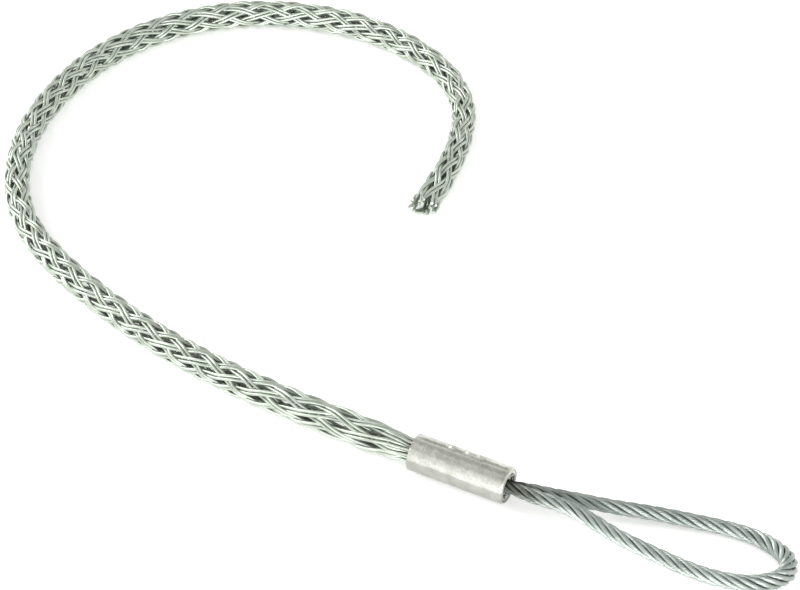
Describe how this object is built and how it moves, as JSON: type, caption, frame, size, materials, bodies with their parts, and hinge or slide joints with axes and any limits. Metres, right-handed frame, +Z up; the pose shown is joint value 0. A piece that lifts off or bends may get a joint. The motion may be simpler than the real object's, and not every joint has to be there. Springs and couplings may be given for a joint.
{
  "type": "cable pulling grip",
  "caption": "Woven steel wire sleeve with a wire rope eye in a pressed aluminium ferrule, slipped over a cable's end to pull it in.",
  "frame": {"origin": "middle of the footprint, on the surface that the grip lies on", "axes": "+Z up, +X along the ferrule's axis from the sleeve towards the eye; the slack sleeve curls round to +Y"},
  "size_m": [0.3592, 0.2282, 0.013],
  "materials": {
    "ferrule": "pressed, satin, lightly scuffed",
    "eye_rope": "galvanised, dull bright",
    "sleeve_wire": "galvanised, dull bright"
  },
  "bodies": {
    "root": {"ferrule": "ferrule", "eye_core_strand": "eye_rope", "eye_strand_1": "eye_rope", "eye_strand_2": "eye_rope", "eye_strand_3": "eye_rope", "eye_strand_4": "eye_rope", "eye_strand_5": "eye_rope", "eye_strand_6": "eye_rope", "sleeve_ribbon_right_1": "sleeve_wire", "sleeve_ribbon_right_2": "sleeve_wire", "sleeve_ribbon_right_3": "sleeve_wire", "sleeve_ribbon_right_4": "sleeve_wire", "sleeve_ribbon_right_5": "sleeve_wire", "sleeve_ribbon_right_6": "sleeve_wire", "sleeve_ribbon_left_1": "sleeve_wire", "sleeve_ribbon_left_2": "sleeve_wire", "sleeve_ribbon_left_3": "sleeve_wire", "sleeve_ribbon_left_4": "sleeve_wire", "sleeve_ribbon_left_5": "sleeve_wire", "sleeve_ribbon_left_6": "sleeve_wire"}
  },
  "joints": []
}
